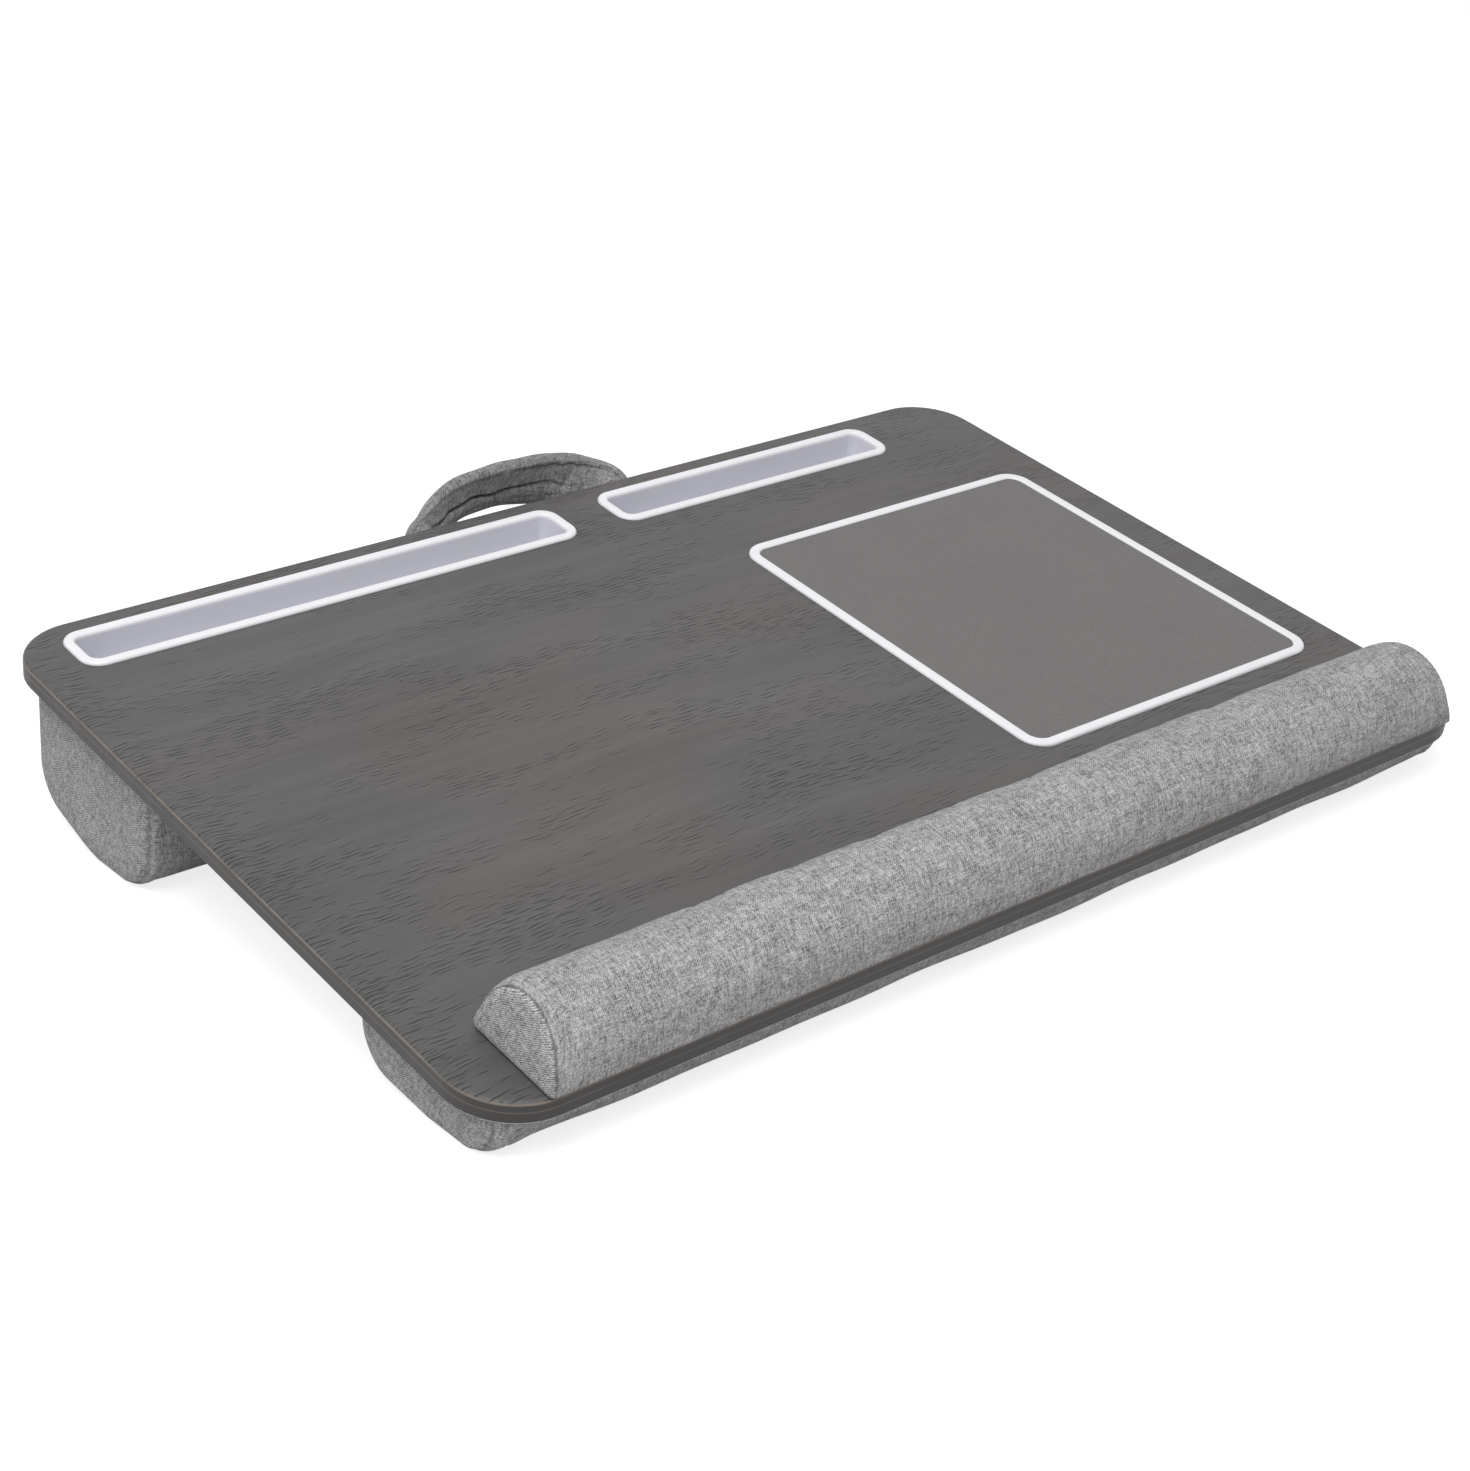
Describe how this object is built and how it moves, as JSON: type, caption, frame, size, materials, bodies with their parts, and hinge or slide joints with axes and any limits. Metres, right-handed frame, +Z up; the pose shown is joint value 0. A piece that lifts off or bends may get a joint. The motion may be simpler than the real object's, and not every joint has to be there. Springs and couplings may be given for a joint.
{
  "type": "lap desk",
  "caption": "Sloping wood-grain lap desk on two fabric bolsters, with device slots, inset mouse pad, padded wrist rest and a folding carrying handle behind",
  "frame": {"origin": "on the floor plane, under the middle of the whole object's box", "axes": "+X to the user's right along the board's long side, +Y from the user to the handle behind, +Z up; the board slopes down towards the user"},
  "size_m": [0.55, 0.4028, 0.104],
  "materials": {
    "fibreboard": "raw medium-density fibreboard",
    "woodgrain": "dark grey film embossed with fine wood grain",
    "white_plastic": "moulded white, satin",
    "tracking_surface": "smooth grey imitation leather",
    "padding": "soft polyurethane foam, never seen",
    "stiff_strip": "thin fibre strip, never seen",
    "tape": "double-sided mounting tape",
    "base_cloth": "plain woven grey cloth",
    "webbing": "flat woven webbing",
    "melange_cloth": "melange grey twill in light and dark threads",
    "staple_wire": "bright staple wire"
  },
  "bodies": {
    "desk": {"board_core": "fibreboard", "woodgrain_film": "woodgrain", "tablet_slot_liner": "white_plastic", "phone_slot_liner": "white_plastic", "mouse_pad_frame": "white_plastic", "mouse_pad_surface": "tracking_surface", "mouse_pad_backing": "padding", "wrist_rest_cover": "melange_cloth", "wrist_rest_end_left": "melange_cloth", "wrist_rest_end_right": "melange_cloth", "wrist_rest_foam": "padding", "wrist_rest_backing": "stiff_strip", "wrist_rest_tape": "tape", "base_fabric": "base_cloth", "front_bolster_cover": "melange_cloth", "front_bolster_end_left": "melange_cloth", "front_bolster_end_right": "melange_cloth", "front_bolster_foam": "padding", "rear_bolster_cover": "melange_cloth", "rear_bolster_end_left": "melange_cloth", "rear_bolster_end_right": "melange_cloth", "rear_bolster_foam": "padding", "bolster_staples": "staple_wire", "handle_tab_left": "webbing", "handle_tab_right": "webbing", "handle_staples": "staple_wire"},
    "handle": {"handle_cover": "melange_cloth", "handle_core": "padding"}
  },
  "joints": [
    {"name": "handle_fold", "type": "hinge", "parent": "desk", "child": "handle", "pos_m": [0.003, 0.17903, 0.07871], "axis": [1, 0, 0], "range_deg": [-75, 45]}
  ]
}
